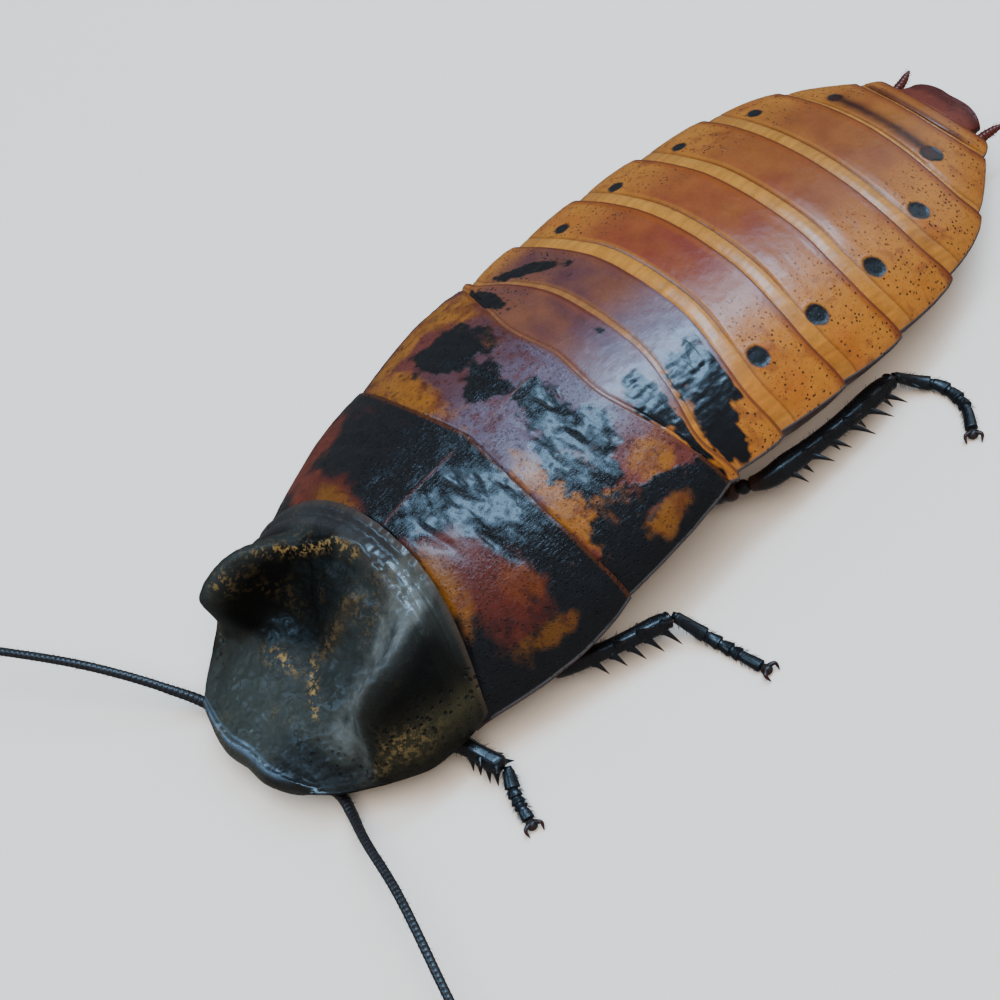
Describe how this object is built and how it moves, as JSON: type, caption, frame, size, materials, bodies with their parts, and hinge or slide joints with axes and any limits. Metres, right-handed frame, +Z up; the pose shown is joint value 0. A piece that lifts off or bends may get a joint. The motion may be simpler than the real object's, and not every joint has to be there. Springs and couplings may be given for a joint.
{
  "type": "hissing cockroach model",
  "caption": "Life-size still model of a male Madagascar hissing cockroach resting on a floor, with a horned shield, banded abdomen, spiny legs and long feelers.",
  "frame": {"origin": "flat of the belly under the third abdominal ring, where the body rests on the floor", "axes": "+Y towards the tail, +X towards the insect's left, +Z up; the head faces -Y"},
  "size_m": [0.0891, 0.0976, 0.0135],
  "materials": {
    "shield": "rough black with an olive cast",
    "black_cuticle": "glossy black",
    "brown_cuticle": "glossy dark brown",
    "maroon_cuticle": "satin red-brown",
    "amber_cuticle": "satin amber",
    "eye": "polished black"
  },
  "bodies": {
    "root": {"pronotum": "shield", "mesonotum": "black_cuticle", "coxa_fore_left": "black_cuticle", "femur_fore_left": "black_cuticle", "tibia_fore_left": "black_cuticle", "tarsus_fore_left": "black_cuticle", "coxa_mid_left": "black_cuticle", "femur_mid_left": "black_cuticle", "tibia_mid_left": "black_cuticle", "tarsus_mid_left": "black_cuticle", "coxa_hind_left": "black_cuticle", "femur_hind_left": "black_cuticle", "tibia_hind_left": "black_cuticle", "tarsus_hind_left": "black_cuticle", "coxa_fore_right": "black_cuticle", "femur_fore_right": "black_cuticle", "tibia_fore_right": "black_cuticle", "tarsus_fore_right": "black_cuticle", "coxa_mid_right": "black_cuticle", "femur_mid_right": "black_cuticle", "tibia_mid_right": "black_cuticle", "tarsus_mid_right": "black_cuticle", "coxa_hind_right": "black_cuticle", "femur_hind_right": "black_cuticle", "tibia_hind_right": "black_cuticle", "tarsus_hind_right": "black_cuticle", "antenna_left_base": "black_cuticle", "antenna_left_1": "black_cuticle", "antenna_left_2": "black_cuticle", "antenna_left_3": "black_cuticle", "antenna_right_base": "black_cuticle", "antenna_right_1": "black_cuticle", "antenna_right_2": "black_cuticle", "antenna_right_3": "black_cuticle", "metanotum": "brown_cuticle", "prothorax": "brown_cuticle", "mesothorax": "brown_cuticle", "metathorax": "brown_cuticle", "head": "brown_cuticle", "abdomen_8": "brown_cuticle", "palp_left": "brown_cuticle", "palp_right": "brown_cuticle", "abdomen_1": "maroon_cuticle", "abdomen_2": "maroon_cuticle", "abdomen_7": "maroon_cuticle", "supra_anal_plate": "maroon_cuticle", "subgenital_plate": "maroon_cuticle", "cercus_left": "maroon_cuticle", "cercus_right": "maroon_cuticle", "abdomen_3": "amber_cuticle", "abdomen_4": "amber_cuticle", "abdomen_5": "amber_cuticle", "abdomen_6": "amber_cuticle", "eye_left": "eye", "eye_right": "eye"}
  },
  "joints": []
}
